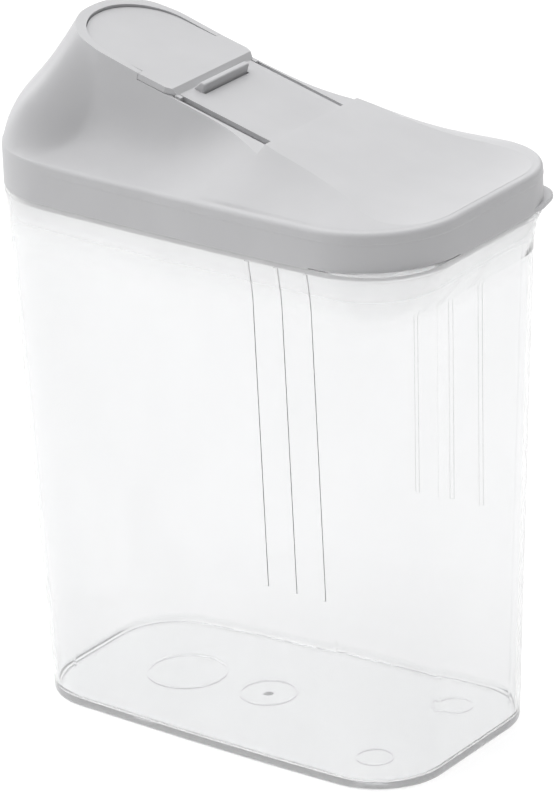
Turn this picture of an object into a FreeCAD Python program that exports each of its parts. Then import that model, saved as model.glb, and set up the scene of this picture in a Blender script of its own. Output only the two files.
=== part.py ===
import FreeCAD, Part
import math
import os

# Kitchen dispenser for dry food: a tall clear container with a narrower spout end, a soft snap
# lid that climbs to a raised spout, and a closure that slides along the sloping deck of the lid.
# X runs along the long sides, spout at -X. Y runs across. Z is up, with the base on Z = 0.

os.makedirs("parts", exist_ok=True)
V = FreeCAD.Vector

# ---- container, mm ----
base_length = 175.0
base_half = 45.2            # half width at mid length, before the bow is added
side_taper = 0.05           # half width gained per mm towards +X
side_bow = 2.2              # how far each long side swells at mid length
end_draft = 0.035           # each end leans out by this much per mm of height
side_draft = 0.027
corner_spout = 27.0
corner_back = 27.0
wall = 1.6
floor_thickness = 2.2
base_edge = 1.0             # rounding of the outer edge of the base
floor_edge = 2.4            # rounding where the floor meets the walls inside
flare_start = 186.0
flange_bottom = 201.3
flange_top = 203.5
neck_top = 213.5
neck_wall = 1.5

# ---- moulded marks on the floor ----
mark_height = 0.4
mark_x = -42.6              # large ring near the spout end
mark_radius = 15.5
gate_x = -5.0               # the plastic came in here, inside a ring
gate_radius = 2.4
gate_height = 0.9
gate_ring_radius = 11.0
pin_x = 60.5                # ejector rings near the back end
pin_y = 26.0
pin_radius = 7.0

# ---- grip ribs ----
rib_pitch = 12.8
rib_middle = 45.0
rib_bottom = 74.0
rib_width = 1.9
rib_height = 0.45
rib_round = 0.35

# ---- lid ----
rim_growth_end = 3.5        # lid outline outside the drafted wall line at the flange
rim_growth_side = 1.9
rim_height = 15.2
rim_rise = 0.9              # how much higher the rim edge stands at the spout end
rim_round = 1.9
rim_fade = 0.85             # share of the rounding that dies out at the spout end
rim_near_radius = 35.0      # the near back corner is cut back and bares the flange
bared_gap = 0.6             # the skirt stands this far off the flange at that corner
rim_spout_radius = 34.0
skirt_wall = 1.5
skirt_gap = 0.4
plug_gap = 0.35
plug_wall = 1.3
plug_step = 0.4             # the wall above the plug is thicker by this much inside
plug_bottom = 200.5
channel_top = 216.8
dome_wall = 1.5

# ---- sloping deck: u runs down the slope towards +X, w is square to it ----
deck_height = 240.2         # height of the closure plate surface at X = 0
deck_fall = 0.28
plate_top = -0.9            # w of the closure plate
shoulder = -1.5             # w of the shoulders beside the plate
slab_bottom = -4.8
recess_floor = -3.1
spout_end = -77.0
spout_radius = 25.5
bridge_start = 23.4
bridge_end = 82.0
bridge_top = 1.2
back_level = 218.9          # level top behind the foot of the slope
back_bend = 16.0            # the slope bends into the level top over this much each way
crown = 3.6                 # the dome is drawn up to this w, then cut to its parts
side_hollow = 1.2           # how strongly the sides of the dome are hollowed
hollow_fade = -20.0         # from this X the hollow dies out over hollow_run
hollow_run = 50.0
back_power = 0.95           # under 1 the dome is slightly full, over 1 it is hollow
spout_fade = -64.0          # from this X towards the spout the dome turns straight
spout_run = 20.0
foot_lift = 60.0            # upright foot of the dome under the spout
foot_fade = -70.0
foot_run = 16.0
spout_rim_low = 1.1
spout_rim_high = 2.4
spout_rim_stop = -36.5

tab_x = 83.9
tab_y = 40.5
tab_radius = 13.1
tab_thickness = 1.9

# ---- slots beside the plate, and the hooks of the closure that run in them ----
slot_start = -20.6
slot_outer = 24.8
slot_end = 22.9
hook_start = -20.1
hook_length = 2.6
hook_outer = 24.4
leg_thickness = 1.8
toe_reach = 4.2
toe_thickness = 0.9
toe_drop = 1.3              # underside of the toe below the underside of the deck

# ---- closure ----
travel = 36.0
clearance = 0.35
closure_bottom = -2.8
panel_tip = -73.4
panel_top = 1.1
panel_half = 22.6
panel_wide_half = 25.5
panel_wide_start = -36.4
panel_edge = -21.7
panel_foot = -19.6
plate_half = 22.0
plate_end = 40.0
grip_start = -19.2
grip_foot = 4.3             # width of the thumb bar where it meets the plate
grip_crest = 2.0            # width of its top
grip_length = 28.0
grip_height = 3.6
groove_width = 0.9          # finger groove along the foot of the bar
groove_depth = 0.9

slope = math.atan(deck_fall)


def on_deck(u, y, w):
    """A point given along the slope, across it and square to it."""
    x = u * math.cos(slope) + w * math.sin(slope)
    z = deck_height - u * math.sin(slope) + w * math.cos(slope)
    return V(x, y, z)


def tilt(shape):
    """Moves a shape drawn flat in (u, y, w) on to the sloping deck."""
    shape.rotate(V(0, 0, 0), V(0, 1, 0), math.degrees(slope))
    shape.translate(V(0, 0, deck_height))
    return shape


class Outline:
    """Rounded plan of the container: straight ends, swelling sides, narrower at -X.

    The back corner on the near side and the two spout corners can have radii of their own.
    """

    def __init__(
        self, z, grow_end, grow_side, near_radius=corner_back, spout_radius=corner_spout
    ):
        self.half_length = base_length / 2 + end_draft * z + grow_end
        half = base_half + side_draft * z + grow_side
        grow = (grow_end + grow_side) / 2
        x = self.half_length
        low = half - side_taper * x
        high = half + side_taper * x
        chord = math.hypot(2 * x, high - low)
        self.big = (chord * chord / 4 + side_bow * side_bow) / (2 * side_bow)
        drop = self.big - side_bow
        self.cx = drop * (high - low) / chord
        self.cy = half - drop * 2 * x / chord
        self.back = self.corner(1, corner_back + grow)
        self.near = self.corner(1, near_radius + grow)
        self.spout = self.corner(-1, spout_radius + grow)

    def corner(self, side, r):
        fx = side * (self.half_length - r)
        reach = self.big - r
        fy = self.cy + math.sqrt(reach * reach - (fx - self.cx) ** 2)
        angle = math.atan2(fy - self.cy, fx - self.cx)
        return fx, fy, r, angle

    def arc_point(self, corner, angle):
        fx, fy, r, _ = corner
        return fx + r * math.cos(angle), fy + r * math.sin(angle)

    def side_point(self, angle):
        return self.cx + self.big * math.cos(angle), self.cy + self.big * math.sin(angle)

    def half_edges(self, back, sign, z):
        """Back corner, side and spout corner on one side, walked from the back end."""
        marks = [
            self.arc_point(back, 0),
            self.arc_point(back, back[3] / 2),
            self.side_point(back[3]),
            self.side_point((back[3] + self.spout[3]) / 2),
            self.side_point(self.spout[3]),
            self.arc_point(self.spout, (self.spout[3] + math.pi) / 2),
            self.arc_point(self.spout, math.pi),
        ]
        p = [V(x, sign * y, z) for x, y in marks]
        return [Part.Arc(p[i], p[i + 1], p[i + 2]).toShape() for i in (0, 2, 4)]

    def wire(self, z):
        far = self.half_edges(self.back, 1, z)
        near = self.half_edges(self.near, -1, z)
        x = self.half_length
        spout_line = Part.makeLine(V(-x, self.spout[1], z), V(-x, -self.spout[1], z))
        back_line = Part.makeLine(V(x, -self.near[1], z), V(x, self.back[1], z))
        return Part.Wire(far + [spout_line] + near[::-1] + [back_line])

    def half_samples(self, back, n_end, n_corner, n_side):
        points = []
        for i in range(n_end):
            points.append((self.half_length, back[1] * i / n_end))
        for i in range(n_corner):
            points.append(self.arc_point(back, back[3] * i / n_corner))
        for i in range(n_side):
            angle = back[3] + (self.spout[3] - back[3]) * i / n_side
            points.append(self.side_point(angle))
        for i in range(n_corner):
            angle = self.spout[3] + (math.pi - self.spout[3]) * i / n_corner
            points.append(self.arc_point(self.spout, angle))
        for i in range(n_end + 1):
            points.append((-self.half_length, self.spout[1] * (1 - i / n_end)))
        return points

    def samples(self, n_end, n_corner, n_side):
        """The whole outline as points, from the middle of the back end and round by +Y."""
        far = self.half_samples(self.back, n_end, n_corner, n_side)
        near = self.half_samples(self.near, n_end, n_corner, n_side)
        return far + [(x, -y) for x, y in near[-2:0:-1]]


def lid_outline(inset):
    """Outline of the lid rim at the flange, set in by inset."""
    return Outline(
        flange_top,
        rim_growth_end - inset,
        rim_growth_side - inset,
        rim_near_radius,
        rim_spout_radius,
    )


def prism(outline, z0, z1):
    """Straight-sided solid on one outline."""
    return Part.Face(outline.wire(z0)).extrude(V(0, 0, z1 - z0))


def loft(outlines, ruled):
    return Part.makeLoft([o.wire(z) for o, z in outlines], True, ruled)


def drafted(inset, z0, z1):
    """Solid between two heights whose sides follow the drafted wall line, set in by inset."""
    low = Outline(z0, -inset, -inset)
    high = Outline(z1, -inset, -inset)
    return loft([(low, z0), (high, z1)], True)


def edges_near(shape, z, tolerance=0.05):
    found = []
    for edge in shape.Edges:
        box = edge.BoundBox
        if abs(box.ZMin - z) < tolerance and abs(box.ZMax - z) < tolerance:
            found.append(edge)
    return found


def side_y(x, z, grow):
    """Y of the wall line on the long side at one place along the length."""
    outline = Outline(z, grow, grow)
    return outline.cy + math.sqrt(outline.big ** 2 - (x - outline.cx) ** 2)


def grip_rib(x, sign):
    """One upright rib on a long side, following the wall and the flare above it."""
    heights = [rib_bottom, flare_start, flare_start + 5, flare_start + 10, flange_bottom]
    grows = [0, 0, 0.35, 1.0, 1.6]
    outer = [V(0, side_y(x, z, g) + rib_height, z) for z, g in zip(heights, grows)]
    inner = [V(0, side_y(x, z, g) - wall * 0.6, z) for z, g in zip(heights, grows)]
    ring = outer + inner[::-1]
    face = Part.Face(Part.makePolygon(ring + [ring[0]]))
    rib = face.extrude(V(rib_width, 0, 0))
    long_edges = []
    for edge in rib.Edges:
        a, b = [v.Point for v in edge.Vertexes]
        if abs(a.x - b.x) < 1e-6 and abs(a.z - b.z) > 60:
            middle = (a + b) * 0.5
            if middle.y > side_y(x, middle.z, 0) + 0.3:
                long_edges.append(edge)
    rib = rib.makeFillet(rib_round, long_edges)
    rib.translate(V(x - rib_width / 2, 0, 0))
    if sign < 0:
        rib = rib.mirror(V(0, 0, 0), V(0, 1, 0))
    return rib


def floor_ring(x, y, radius, width):
    """Faint moulded ring on the floor inside."""
    outer = Part.makeCylinder(radius, mark_height + 0.4, V(x, y, floor_thickness - 0.4))
    inner = Part.makeCylinder(radius - width, mark_height + 1.0, V(x, y, floor_thickness - 0.6))
    return outer.cut(inner)


def make_container():
    body = drafted(0, 0, flare_start)
    body = body.makeFillet(base_edge, edges_near(body, 0))
    flare = [(Outline(flare_start, 0, 0), flare_start)]
    for share, grow in ((0.35, 0.12), (0.7, 0.46), (1.0, 0.78)):
        z = flare_start + share * (flange_bottom - flare_start)
        radius = corner_spout + (rim_spout_radius - corner_spout) * grow
        outline = Outline(
            z, rim_growth_end * grow, rim_growth_side * grow, corner_back, radius
        )
        flare.append((outline, z))
    body = body.fuse(loft(flare, False))
    flange = Outline(
        flange_top, rim_growth_end - 0.3, rim_growth_side - 0.3, corner_back, rim_spout_radius
    )
    body = body.fuse(prism(flange, flange_bottom, flange_top))
    neck = lid_outline(skirt_wall + skirt_gap)
    body = body.fuse(prism(neck, flange_top, neck_top))
    for i in (-1, 0, 1):
        for sign in (-1, 1):
            body = body.fuse(grip_rib(rib_middle + i * rib_pitch, sign))
    inner = drafted(wall, floor_thickness, flare_start)
    inner = inner.makeFillet(floor_edge, edges_near(inner, floor_thickness))
    throat = lid_outline(skirt_wall + skirt_gap + neck_wall)
    low = Outline(flare_start, -wall, -wall)
    inner = inner.fuse(loft([(low, flare_start), (throat, flange_bottom)], True))
    inner = inner.fuse(prism(throat, flange_bottom, neck_top + 1))
    body = body.cut(inner)
    body = body.fuse(floor_ring(mark_x, 0, mark_radius, 0.8))
    body = body.fuse(floor_ring(gate_x, 0, gate_ring_radius, 0.5))
    for sign in (-1, 1):
        body = body.fuse(floor_ring(pin_x, sign * pin_y, pin_radius, 0.5))
    gate = Part.makeCone(gate_radius, gate_radius / 4, gate_height, V(gate_x, 0, floor_thickness - 0.1))
    return body.fuse(gate).removeSplitter()


def smooth(t):
    t = min(1.0, max(0.0, t))
    return t * t * (3 - 2 * t)


def deck_samples(inset, n_end, n_corner, n_side):
    """The deck outline in (u, y), sampled to match Outline.samples."""
    back = bridge_end - inset
    start = spout_end + inset
    half = spout_radius - inset
    r_back = 20.0 - inset
    r_spout = half - 1.5
    u0 = back - r_back
    u1 = start + r_spout
    points = []
    for i in range(n_end):
        points.append((back, (half - r_back) * i / n_end))
    for i in range(n_corner):
        angle = math.pi / 2 * i / n_corner
        points.append((u0 + r_back * math.cos(angle), half - r_back + r_back * math.sin(angle)))
    for i in range(n_side):
        points.append((u0 + (u1 - u0) * i / n_side, half))
    for i in range(n_corner):
        angle = math.pi / 2 * (1 + i / n_corner)
        points.append((u1 + r_spout * math.cos(angle), half - r_spout + r_spout * math.sin(angle)))
    for i in range(n_end + 1):
        points.append((start, (half - r_spout) * (1 - i / n_end)))
    return points + [(u, -y) for u, y in points[-2:0:-1]]


def skin(rows):
    """Closed solid through rows of points, each row a closed ring."""
    wires = []
    for row in rows:
        curve = Part.BSplineCurve()
        curve.interpolate(Points=row, PeriodicFlag=True, Parameters=list(range(len(row) + 1)))
        wires.append(Part.Wire([curve.toShape()]))
    return Part.makeLoft(wires, True, len(rows) == 2)


def rim_z(x, lower):
    half_length = base_length / 2
    return flange_top + rim_height + rim_rise * (0.5 - x / (2 * half_length)) - lower


def dome_rows(start_points, deck_points, w, lower, shares):
    """Rows climbing from the rim to the deck: hollow along both sides, full at the spout."""
    rows = []
    for share in shares:
        row = []
        for (x0, y0), (u, y1) in zip(start_points, deck_points):
            top = on_deck(u, y1, w)
            z0 = rim_z(x0, lower)
            beside = 1 - smooth((top.x - hollow_fade) / hollow_run)
            at_spout = smooth((spout_fade - x0) / spout_run)
            side = back_power + side_hollow * beside
            power = side + (1 - side) * at_spout
            f = 1 - (1 - share) ** power
            g = share ** power
            at_foot = smooth((foot_fade - x0) / foot_run)
            z = z0 + (top.z - z0) * g + foot_lift * at_foot * share * (1 - share) ** 4
            row.append(V(x0 + (top.x - x0) * f, y0 + (y1 - y0) * f, z))
        rows.append(row)
    return rows


def ring_at(outline, steps, height):
    """Closed ring of points on an outline, at a height given as a function of X."""
    return [V(x, y, height(x)) for x, y in outline.samples(*steps)]


def rim_points(inset, steps):
    """Outline of the lid set in by inset, less so round the spout, where the rim dies out."""
    points = []
    for (x0, y0), (x1, y1) in zip(lid_outline(0).samples(*steps), lid_outline(inset).samples(*steps)):
        keep = 1 - rim_fade * smooth((-50.0 - x0) / 25.0)
        points.append((x0 + (x1 - x0) * keep, y0 + (y1 - y0) * keep))
    return points


def lid_outside():
    steps = (3, 8, 10)
    foot = ring_at(lid_outline(0), steps, lambda x: flange_top)
    rows = []
    for lower in (rim_round + 2.5, rim_round + 1.2, rim_round):
        rows.append(ring_at(lid_outline(0), steps, lambda x: rim_z(x, lower)))
    skirt = skin([foot, rows[0]])
    for i in range(1, 4):
        angle = math.pi / 2 * i / 4
        inset = rim_round * (1 - math.cos(angle))
        lower = rim_round * (1 - math.sin(angle))
        rows.append([V(x, y, rim_z(x, lower)) for x, y in rim_points(inset, steps)])
    start = rim_points(rim_round, steps)
    shares = [0, 0.05, 0.13, 0.25, 0.38, 0.52, 0.66, 0.8, 0.92, 1.0]
    rows += dome_rows(start, deck_samples(0, *steps), crown, 0, shares)
    return skirt.fuse(skin(rows))


def lid_inside():
    steps = (2, 4, 8)
    inset = skirt_wall + skirt_gap + neck_wall + plug_gap + plug_wall + plug_step
    outline = lid_outline(inset)
    foot = ring_at(outline, steps, lambda x: flange_top)
    top = ring_at(outline, steps, lambda x: rim_z(x, 3.5))
    rows = [top, ring_at(outline, steps, lambda x: rim_z(x, 2.4))]
    start = outline.samples(*steps)
    shares = [0.08, 0.25, 0.45, 0.65, 0.85, 1.0]
    rows += dome_rows(start, deck_samples(dome_wall, *steps), slab_bottom, 2.0, shares)
    return skin([foot, top]).fuse(skin(rows))


def deck_box(u0, u1, half, w0, w1):
    return Part.makeBox(u1 - u0, 2 * half, w1 - w0, V(u0, -half, w0))


def stadium(u0, u1, half, radius, w):
    """Flat face with a rounded end at u0 and a square end at u1."""
    a = V(u1, -half, w)
    b = V(u1, half, w)
    c = V(u0 + radius, half, w)
    d = V(u0, half - radius, w)
    e = V(u0, radius - half, w)
    f = V(u0 + radius, -half, w)
    k = radius * (1 - math.sqrt(0.5))
    edges = [
        Part.makeLine(a, b),
        Part.makeLine(b, c),
        Part.Arc(c, V(u0 + k, half - k, w), d).toShape(),
    ]
    if half - radius > 1e-6:
        edges.append(Part.makeLine(d, e))
    edges.append(Part.Arc(e, V(u0 + k, k - half, w), f).toShape())
    edges.append(Part.makeLine(f, a))
    return Part.Face(Part.Wire(edges))


def above(profile):
    """Tool that removes everything above a line given as (u, w) points, all across the lid."""
    first = profile[0]
    last = profile[-1]
    ring = [V(u, -80, w) for u, w in profile]
    ring += [V(last[0], -80, 30), V(first[0], -80, 30), V(first[0], -80, first[1])]
    return tilt(Part.Face(Part.makePolygon(ring)).extrude(V(0, 160, 0)))


def roof_cut():
    """Removes everything above the bridge, the slope behind it and the level back."""
    drop = deck_height + bridge_top * math.cos(slope) - back_level
    foot = drop / math.sin(slope)
    run = 40.0
    sagitta = back_bend * math.tan(slope / 4)
    middle = V(foot - sagitta * math.sin(slope / 2), -80, bridge_top + sagitta * math.cos(slope / 2))
    ring = [
        V(foot + run * math.cos(slope), -80, bridge_top + run * math.sin(slope)),
        V(foot + run, -80, 30),
        V(bridge_start, -80, 30),
        V(bridge_start, -80, bridge_top),
        V(foot - back_bend, -80, bridge_top),
    ]
    level = V(foot + back_bend * math.cos(slope), -80, bridge_top + back_bend * math.sin(slope))
    edges = [Part.makeLine(a, b) for a, b in zip(ring, ring[1:])]
    edges.append(Part.Arc(ring[-1], middle, level).toShape())
    edges.append(Part.makeLine(level, ring[0]))
    return tilt(Part.Face(Part.Wire(edges)).extrude(V(0, 160, 0)))


def crown_cuts():
    """Shapes the top of the dome: sloping spout rim, shoulders, bridge and level back."""
    rim = above([
        (spout_end - 5, spout_rim_high),
        (spout_end, spout_rim_high),
        (spout_rim_stop, spout_rim_low),
    ])
    shoulders = above([(spout_rim_stop, shoulder), (bridge_start, shoulder)])
    return [rim, shoulders, roof_cut()]


def closure_recess():
    """Room for the closure and its travel, cut into the deck."""
    spout = stadium(
        panel_tip - clearance, panel_wide_start + 2, panel_half + clearance,
        panel_half + clearance - 0.5, recess_floor
    ).extrude(V(0, 0, 12))
    run = deck_box(panel_wide_start - 5, bridge_start, panel_half + clearance, recess_floor, 0)
    pocket_end = plate_end + travel + 0.6
    roof = plate_top + 0.3
    pocket = deck_box(bridge_start - 1, pocket_end, plate_half + clearance, recess_floor, roof)
    mouth = stadium(panel_tip + 3.2, -41.0, 19.0, 18.5, slab_bottom - 3).extrude(V(0, 0, 8))
    cut = spout.fuse([run, pocket, mouth])
    for sign in (-1, 1):
        width = slot_outer - plate_half - 0.1
        low = min(sign * (plate_half + 0.1), sign * slot_outer)
        slot = Part.makeBox(slot_end - slot_start, width, 8, V(slot_start, low, slab_bottom - 3))
        cut = cut.fuse(slot)
    return tilt(cut)


def pull_tab():
    """Rounded tongue at the far back corner for peeling the lid open."""
    side_end = V(tab_x, tab_y, flange_top + 0.1)
    back_end = V(tab_x + 1.6, tab_y - 6.3, flange_top + 0.1)
    along = (back_end - side_end).normalize() * tab_radius
    across = V(-along.y, along.x, 0)
    wire = Part.Wire([
        Part.Arc(side_end + across, side_end - along, side_end - across).toShape(),
        Part.makeLine(side_end - across, back_end - across),
        Part.Arc(back_end - across, back_end + along, back_end + across).toShape(),
        Part.makeLine(back_end + across, side_end + across),
    ])
    tab = Part.Face(wire).extrude(V(0, 0, tab_thickness))
    rounded = [e for e in tab.Edges if e.BoundBox.ZLength < 0.01]
    return tab.makeFillet(0.6, rounded)


def make_lid():
    body = lid_outside()
    for tool in crown_cuts():
        body = body.cut(tool)
    body = body.fuse(pull_tab())
    body = body.cut(lid_inside())
    skirt_inner = lid_outline(skirt_wall)
    gap = skirt_wall + skirt_gap + neck_wall + plug_gap
    plug_outer = lid_outline(gap)
    channel = prism(skirt_inner, flange_top - 1, channel_top)
    channel = channel.cut(prism(plug_outer, flange_top - 2, channel_top + 1))
    body = body.cut(channel)
    plug_inner = lid_outline(gap + plug_wall)
    plug = prism(plug_outer, plug_bottom, flange_top + 6)
    plug = plug.cut(prism(plug_inner, plug_bottom - 1, flange_top + 7))
    body = body.fuse(plug)
    body = body.cut(closure_recess())
    corner = lid_outline(0).near
    notch = Part.makeBox(45, 45, bared_gap, V(corner[0] - 1, -corner[1] - 44, flange_top))
    notch = notch.cut(prism(skirt_inner, flange_top - 1, flange_top + 5))
    return body.cut(notch)


def thumb_bar():
    """Ridge across the plate: sloping front, upright back."""
    back = grip_start + grip_foot
    crest = plate_top + grip_height
    profile = [
        V(grip_start, 0, plate_top - 0.5),
        V(grip_start, 0, plate_top),
        V(back - grip_crest, 0, crest),
        V(back, 0, crest),
        V(back, 0, plate_top - 0.5),
        V(grip_start, 0, plate_top - 0.5),
    ]
    bar = Part.Face(Part.makePolygon(profile)).extrude(V(0, grip_length, 0))
    bar.translate(V(0, -grip_length / 2, 0))
    upper = [e for e in bar.Edges if e.BoundBox.ZMax > crest - 0.1]
    return bar.makeFillet(0.6, upper)


def closure_hook(sign):
    """Leg that reaches through a side slot, with a toe that turns in under the deck."""
    foot = slab_bottom - toe_drop
    leg_low = min(sign * (hook_outer - leg_thickness), sign * hook_outer)
    leg = Part.makeBox(hook_length, leg_thickness, plate_top + 0.1 - foot, V(hook_start, leg_low, foot))
    toe_low = min(sign * (hook_outer - toe_reach), sign * hook_outer)
    toe = Part.makeBox(hook_length, toe_reach, toe_thickness, V(hook_start, toe_low, foot))
    return leg.fuse(toe)


def make_closure():
    radius = panel_half - 0.5
    body = stadium(panel_tip, panel_wide_start + 1, panel_half, radius, closure_bottom)
    body = body.extrude(V(0, 0, panel_top - closure_bottom))
    middle = Part.Face(Part.makePolygon([
        V(panel_wide_start, -plate_half, closure_bottom),
        V(panel_foot, -plate_half, closure_bottom),
        V(panel_foot, -plate_half, plate_top),
        V(panel_edge, -plate_half, panel_top),
        V(panel_wide_start, -plate_half, panel_top),
        V(panel_wide_start, -plate_half, closure_bottom),
    ])).extrude(V(0, 2 * plate_half, 0))
    low = shoulder + 0.2
    wide = Part.Face(Part.makePolygon([
        V(panel_wide_start, -panel_wide_half, low),
        V(panel_foot, -panel_wide_half, low),
        V(panel_foot, -panel_wide_half, plate_top),
        V(panel_edge, -panel_wide_half, panel_top),
        V(panel_wide_start, -panel_wide_half, panel_top),
        V(panel_wide_start, -panel_wide_half, low),
    ])).extrude(V(0, 2 * panel_wide_half, 0))
    for sign in (-1, 1):
        corner = Part.makePolygon([
            V(panel_edge - 2.5, sign * panel_wide_half, -5),
            V(panel_foot + 1, sign * 23.2, -5),
            V(panel_foot + 1, sign * 30, -5),
            V(panel_edge - 2.5, sign * 30, -5),
            V(panel_edge - 2.5, sign * panel_wide_half, -5),
        ])
        wide = wide.cut(Part.Face(corner).extrude(V(0, 0, 10)))
    plate = deck_box(panel_foot - 1, plate_end, plate_half, closure_bottom, plate_top)
    body = body.fuse([middle, wide, plate, thumb_bar(), closure_hook(-1), closure_hook(1)])
    groove = Part.makeBox(
        groove_width, grip_length - 0.6, groove_depth,
        V(grip_start + grip_foot, 0.3 - grip_length / 2, plate_top - groove_depth)
    )
    hollow = stadium(
        panel_tip + 1.6, panel_wide_start, panel_half - 1.6, radius - 1.6, closure_bottom
    )
    hollow = hollow.extrude(V(0, 0, panel_top - 1.5 - closure_bottom))
    body = body.cut(groove).cut(hollow)
    return tilt(body.removeSplitter())


for name, maker in (("container", make_container), ("lid", make_lid), ("closure", make_closure)):
    shape = maker()
    if shape.ShapeType == "Compound" and len(shape.Solids) == 1:
        shape = shape.Solids[0]
    shape.exportStep("parts/" + name + ".step")
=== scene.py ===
import math

import bpy
from mathutils import Matrix, Vector

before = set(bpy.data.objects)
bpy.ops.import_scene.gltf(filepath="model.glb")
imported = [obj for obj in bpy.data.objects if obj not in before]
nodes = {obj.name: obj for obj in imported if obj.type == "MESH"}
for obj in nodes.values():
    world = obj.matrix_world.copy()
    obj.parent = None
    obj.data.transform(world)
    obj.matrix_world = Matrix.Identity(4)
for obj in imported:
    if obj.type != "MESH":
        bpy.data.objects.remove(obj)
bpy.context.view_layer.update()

# The camera: a long lens in front of the near long side, towards the back end, looking down
VIEW_AZIMUTH = math.radians(35.714)
VIEW_ELEVATION = math.radians(21.927)
VIEW_ROLL = math.radians(-2.055)
VIEW_DISTANCE = 2.1123
AIM_RIGHT = 0.0024
AIM_UP = 0.0124
AIM_HEIGHT = 0.110
SENSOR = 36.0
LENS = 259.17
CLIP_NEAR = 0.1
CLIP_FAR = 40.0

# The room: a white tent round a light table, brightest above and a little towards the spout
FLOOR_SIZE = 9.0
FLOOR_DROP = 0.0002
TABLE_GLOW = 0.58
TABLE_TONE = 0.42
TENT_BRIGHT_WAY = (-0.42, 0.18, 0.88)
TENT_DIM = 0.10
TENT_BRIGHT = 1.84
TENT_FADE = (-0.2, 0.95)
KEY_POWER = 5.0
KEY_SIZE = 1.6
KEY_PLACE = (-0.5, -0.4, 1.9)
KEY_AIM = (0, 0, 0.15)
GLASS_BOUNCES = 32

# The middle of a noise, which is stretched over a material's whole range
NOISE_MIDDLE = (0.3, 0.7)

# The soft plastic of the lid and the closure
LID_DARK = (0.46, 0.46, 0.47)
LID_LIGHT = (0.485, 0.485, 0.495)
CLOSURE_DARK = (0.45, 0.45, 0.46)
CLOSURE_LIGHT = (0.475, 0.475, 0.485)
SATIN_IOR = 1.51
SATIN_SPECULAR = 0.2
SATIN_DEPTH = 0.002
SATIN_SOFTNESS = 0.12
SATIN_ROUGHNESS = (0.40, 0.50)
FLOW_HEIGHT = 0.00012
GRAIN_HEIGHT = 0.00001

# The clear shell: its tint, which is deeper in the floor, partly for the thicker slab and
# partly as painted shade where the lid keeps light off the floor, and where it is milky
CLEAR_IOR = 1.45
CLEAR_TRANSMISSION = (0.965, 0.945)
CLEAR_ROUGHNESS = (0.0, 0.03)
CLEAR_SHADOW = (0.93, 0.93, 0.93)
WAVE_HEIGHT = 0.000008
CLEAR_DARK = (0.875, 0.878, 0.882)
CLEAR_LIGHT = (0.895, 0.897, 0.901)
# The floor's deeper tint: partly the thicker slab, partly painted shade under the lid; the
# heights below mark both it and the base milk
CLEAR_FLOOR_TINT_AND_SHADE = (0.80, 0.803, 0.807)
MILKY_RIM = (0.178, 0.2)
RIM_MILK = 0.3
BASE_MILK_AND_SHADE_HEIGHTS = (0.006, 0.0)
BASE_MILK = 0.15
FLAT_FACE = (0.93, 0.99)


def new_material(name):
    """An empty node material: its tree, its shader and its output."""
    material = bpy.data.materials.new(name)
    material.use_nodes = True
    tree = material.node_tree
    shader = tree.nodes["Principled BSDF"]
    return material, tree, shader


def add(tree, kind, **values):
    """A node of that kind, with its properties set."""
    node = tree.nodes.new(kind)
    for key, value in values.items():
        setattr(node, key, value)
    return node


def object_noise(tree, scale, detail, roughness=0.5, stretch=(1, 1, 1)):
    """Noise that is fixed to the object, with its grain drawn out along an axis by stretch."""
    place = add(tree, "ShaderNodeTexCoord")
    spread = add(tree, "ShaderNodeMapping")
    spread.inputs["Scale"].default_value = stretch
    noise = add(tree, "ShaderNodeTexNoise")
    noise.inputs["Scale"].default_value = scale
    noise.inputs["Detail"].default_value = detail
    noise.inputs["Roughness"].default_value = roughness
    tree.links.new(place.outputs["Object"], spread.inputs["Vector"])
    tree.links.new(spread.outputs["Vector"], noise.inputs["Vector"])
    return noise.outputs["Fac"]


def ramp(tree, source, low, high):
    """Maps a noise's middle range onto the colours low to high."""
    node = add(tree, "ShaderNodeValToRGB")
    node.color_ramp.elements[0].position = NOISE_MIDDLE[0]
    node.color_ramp.elements[0].color = (*low, 1)
    node.color_ramp.elements[1].position = NOISE_MIDDLE[1]
    node.color_ramp.elements[1].color = (*high, 1)
    tree.links.new(source, node.inputs["Fac"])
    return node.outputs["Color"]


def span(tree, source, low, high):
    """Maps a noise's middle range onto the numbers low to high."""
    node = add(tree, "ShaderNodeMapRange")
    node.inputs["From Min"].default_value = NOISE_MIDDLE[0]
    node.inputs["From Max"].default_value = NOISE_MIDDLE[1]
    node.inputs["To Min"].default_value = low
    node.inputs["To Max"].default_value = high
    tree.links.new(source, node.inputs["Value"])
    return node.outputs["Result"]


def bump(tree, source, height, below=None):
    """A bump of that height in metres, on top of the bump below."""
    node = add(tree, "ShaderNodeBump")
    node.inputs["Strength"].default_value = 1.0
    node.inputs["Distance"].default_value = height
    tree.links.new(source, node.inputs["Height"])
    if below is not None:
        tree.links.new(below, node.inputs["Normal"])
    return node.outputs["Normal"]


def satin_plastic(name, dark, light):
    """Soft moulded polyethylene: a fine satin grain over faint flow marks."""
    material, tree, shader = new_material(name)
    shader.inputs["IOR"].default_value = SATIN_IOR
    shader.inputs["Specular IOR Level"].default_value = SATIN_SPECULAR
    shader.inputs["Subsurface Weight"].default_value = SATIN_SOFTNESS
    shader.inputs["Subsurface Radius"].default_value = (1.0, 1.0, 1.0)
    shader.inputs["Subsurface Scale"].default_value = SATIN_DEPTH
    cloud = object_noise(tree, 34.0, 3.0, 0.55, (1, 1, 0.6))
    tree.links.new(ramp(tree, cloud, dark, light), shader.inputs["Base Color"])
    smear = object_noise(tree, 90.0, 4.0, 0.6, (0.5, 1, 1))
    tree.links.new(span(tree, smear, *SATIN_ROUGHNESS), shader.inputs["Roughness"])
    flow = bump(tree, object_noise(tree, 26.0, 1.0), FLOW_HEIGHT)
    grain = bump(tree, object_noise(tree, 2600.0, 2.0), GRAIN_HEIGHT, flow)
    tree.links.new(grain, shader.inputs["Normal"])
    return material


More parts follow.
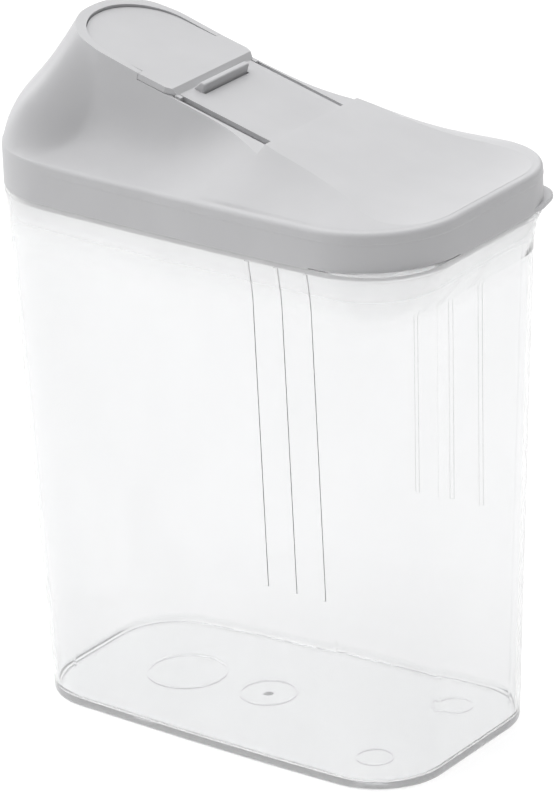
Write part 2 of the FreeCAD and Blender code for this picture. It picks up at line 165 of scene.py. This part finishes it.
def height_share(tree, start, end):
    """Grows from 0 to 1 between two heights on the object."""
    place = add(tree, "ShaderNodeTexCoord")
    parts = add(tree, "ShaderNodeSeparateXYZ")
    rise = add(tree, "ShaderNodeMapRange", interpolation_type="SMOOTHSTEP")
    rise.inputs["From Min"].default_value = start
    rise.inputs["From Max"].default_value = end
    tree.links.new(place.outputs["Object"], parts.inputs["Vector"])
    tree.links.new(parts.outputs["Z"], rise.inputs["Value"])
    return rise.outputs["Result"]


def level_share(tree):
    """1 on faces that lie flat, 0 on the walls and the roundings."""
    facing = add(tree, "ShaderNodeNewGeometry")
    parts = add(tree, "ShaderNodeSeparateXYZ")
    size = add(tree, "ShaderNodeMath", operation="ABSOLUTE")
    flat = add(tree, "ShaderNodeMapRange", interpolation_type="SMOOTHSTEP")
    flat.inputs["From Min"].default_value = FLAT_FACE[0]
    flat.inputs["From Max"].default_value = FLAT_FACE[1]
    tree.links.new(facing.outputs["True Normal"], parts.inputs["Vector"])
    tree.links.new(parts.outputs["Z"], size.inputs[0])
    tree.links.new(size.outputs["Value"], flat.inputs["Value"])
    return flat.outputs["Result"]


def less(tree, value, share, amount):
    """The value, lowered by amount times the share."""
    part = add(tree, "ShaderNodeMath", operation="MULTIPLY")
    part.inputs[1].default_value = amount
    rest = add(tree, "ShaderNodeMath", operation="SUBTRACT")
    tree.links.new(share, part.inputs[0])
    tree.links.new(value, rest.inputs[0])
    tree.links.new(part.outputs["Value"], rest.inputs[1])
    return rest.outputs["Value"]


def clear_plastic(name):
    """Clear injection-moulded shell: slightly milky, more so in the thick rim and base, with a
    deeper tint on the flat floor that is partly painted shade.
    """
    material, tree, shader = new_material(name)
    shader.inputs["IOR"].default_value = CLEAR_IOR
    cloud = object_noise(tree, 20.0, 2.0, 0.5, (1, 1, 0.5))
    # Painted shade: the flat floor gets a darker tint, partly for the thicker slab and partly
    # for the shade the lid casts on it
    floor_tint_and_shade = add(tree, "ShaderNodeMixRGB")
    floor_tint_and_shade.inputs["Color2"].default_value = (*CLEAR_FLOOR_TINT_AND_SHADE, 1)
    floor_only = add(tree, "ShaderNodeMath", operation="MULTIPLY")
    tree.links.new(height_share(tree, *BASE_MILK_AND_SHADE_HEIGHTS), floor_only.inputs[0])
    tree.links.new(level_share(tree), floor_only.inputs[1])
    tree.links.new(floor_only.outputs["Value"], floor_tint_and_shade.inputs["Fac"])
    tree.links.new(ramp(tree, cloud, CLEAR_DARK, CLEAR_LIGHT), floor_tint_and_shade.inputs["Color1"])
    tree.links.new(floor_tint_and_shade.outputs["Color"], shader.inputs["Base Color"])
    milk = object_noise(tree, 14.0, 3.0, 0.6, (1, 1, 0.6))
    clear = span(tree, milk, *CLEAR_TRANSMISSION)
    clear = less(tree, clear, height_share(tree, *MILKY_RIM), RIM_MILK)
    clear = less(tree, clear, height_share(tree, *BASE_MILK_AND_SHADE_HEIGHTS), BASE_MILK)
    tree.links.new(clear, shader.inputs["Transmission Weight"])
    haze = object_noise(tree, 60.0, 3.0, 0.55, (1, 1, 0.4))
    tree.links.new(span(tree, haze, *CLEAR_ROUGHNESS), shader.inputs["Roughness"])
    wave = bump(tree, object_noise(tree, 24.0, 1.0, 0.4, (1, 1, 0.35)), WAVE_HEIGHT)
    tree.links.new(wave, shader.inputs["Normal"])
    output = tree.nodes["Material Output"]
    rays = add(tree, "ShaderNodeLightPath")
    gap = add(tree, "ShaderNodeBsdfTransparent")
    gap.inputs["Color"].default_value = (*CLEAR_SHADOW, 1)
    choice = add(tree, "ShaderNodeMixShader")
    tree.links.new(rays.outputs["Is Shadow Ray"], choice.inputs["Fac"])
    tree.links.new(shader.outputs["BSDF"], choice.inputs[1])
    tree.links.new(gap.outputs["BSDF"], choice.inputs[2])
    tree.links.new(choice.outputs["Shader"], output.inputs["Surface"])
    return material


def light_table(name):
    """White diffusing top of a light table."""
    material, tree, shader = new_material(name)
    shader.inputs["Specular IOR Level"].default_value = 0.1
    shader.inputs["Roughness"].default_value = 0.9
    low = [TABLE_TONE * 0.99] * 3
    high = [TABLE_TONE * 1.01] * 3
    tree.links.new(ramp(tree, object_noise(tree, 3.0, 3.0), low, high),
                   shader.inputs["Base Color"])
    shader.inputs["Emission Color"].default_value = (1, 1, 1, 1)
    shader.inputs["Emission Strength"].default_value = TABLE_GLOW
    return material


def wear(node, material):
    """Gives all of a node's slots one material."""
    mesh = nodes[node].data
    if not mesh.materials:
        mesh.materials.append(material)
    for index in range(len(mesh.materials)):
        mesh.materials[index] = material


def make_floor():
    bpy.ops.mesh.primitive_plane_add(size=FLOOR_SIZE, location=(0, 0, -FLOOR_DROP))
    floor = bpy.context.object
    floor.name = "floor"
    floor.data.materials.append(light_table("light_table"))


def make_tent():
    """Soft light from all round, fading away from its bright side."""
    world = bpy.data.worlds.new("tent")
    world.use_nodes = True
    tree = world.node_tree
    glow = tree.nodes["Background"]
    glow.inputs["Color"].default_value = (1, 1, 1, 1)
    place = add(tree, "ShaderNodeTexCoord")
    toward = add(tree, "ShaderNodeVectorMath", operation="DOT_PRODUCT")
    toward.inputs[1].default_value = Vector(TENT_BRIGHT_WAY).normalized()
    fade = add(tree, "ShaderNodeMapRange", interpolation_type="SMOOTHSTEP")
    fade.inputs["From Min"].default_value = TENT_FADE[0]
    fade.inputs["From Max"].default_value = TENT_FADE[1]
    fade.inputs["To Min"].default_value = TENT_DIM
    fade.inputs["To Max"].default_value = TENT_BRIGHT
    tree.links.new(place.outputs["Generated"], toward.inputs[0])
    tree.links.new(toward.outputs["Value"], fade.inputs["Value"])
    tree.links.new(fade.outputs["Result"], glow.inputs["Strength"])
    bpy.context.scene.world = world


def make_light(name, power, size, place, aim):
    """A soft box that points at aim."""
    lamp = bpy.data.lights.new(name, "AREA")
    lamp.energy = power
    lamp.size = size
    thing = bpy.data.objects.new(name, lamp)
    thing.location = place
    thing.rotation_euler = (Vector(aim) - Vector(place)).to_track_quat("-Z", "Y").to_euler()
    bpy.context.scene.collection.objects.link(thing)


def make_camera():
    flat = math.cos(VIEW_ELEVATION)
    back = Vector((
        math.sin(VIEW_AZIMUTH) * flat,
        -math.cos(VIEW_AZIMUTH) * flat,
        math.sin(VIEW_ELEVATION),
    ))
    level_right = Vector((0, 0, 1)).cross(back).normalized()
    level_up = back.cross(level_right)
    right = math.cos(VIEW_ROLL) * level_right + math.sin(VIEW_ROLL) * level_up
    up = math.cos(VIEW_ROLL) * level_up - math.sin(VIEW_ROLL) * level_right
    aim = Vector((0, 0, AIM_HEIGHT)) + AIM_RIGHT * right + AIM_UP * up
    place = Matrix((right, up, back)).transposed().to_4x4()
    place.translation = aim + back * VIEW_DISTANCE
    data = bpy.data.cameras.new("camera")
    data.lens = LENS
    data.sensor_width = SENSOR
    data.clip_start = CLIP_NEAR
    data.clip_end = CLIP_FAR
    camera = bpy.data.objects.new("camera", data)
    camera.matrix_world = place
    bpy.context.scene.collection.objects.link(camera)
    bpy.context.scene.camera = camera


wear("container", clear_plastic("clear_shell"))
wear("lid", satin_plastic("soft_lid", LID_DARK, LID_LIGHT))
wear("closure", satin_plastic("soft_closure", CLOSURE_DARK, CLOSURE_LIGHT))
make_floor()
make_tent()
make_light("overhead", KEY_POWER, KEY_SIZE, KEY_PLACE, KEY_AIM)
make_camera()
bpy.context.scene.view_settings.view_transform = "Standard"
bpy.context.scene.cycles.max_bounces = GLASS_BOUNCES
bpy.context.scene.cycles.transmission_bounces = GLASS_BOUNCES
bpy.context.scene.cycles.transparent_max_bounces = GLASS_BOUNCES
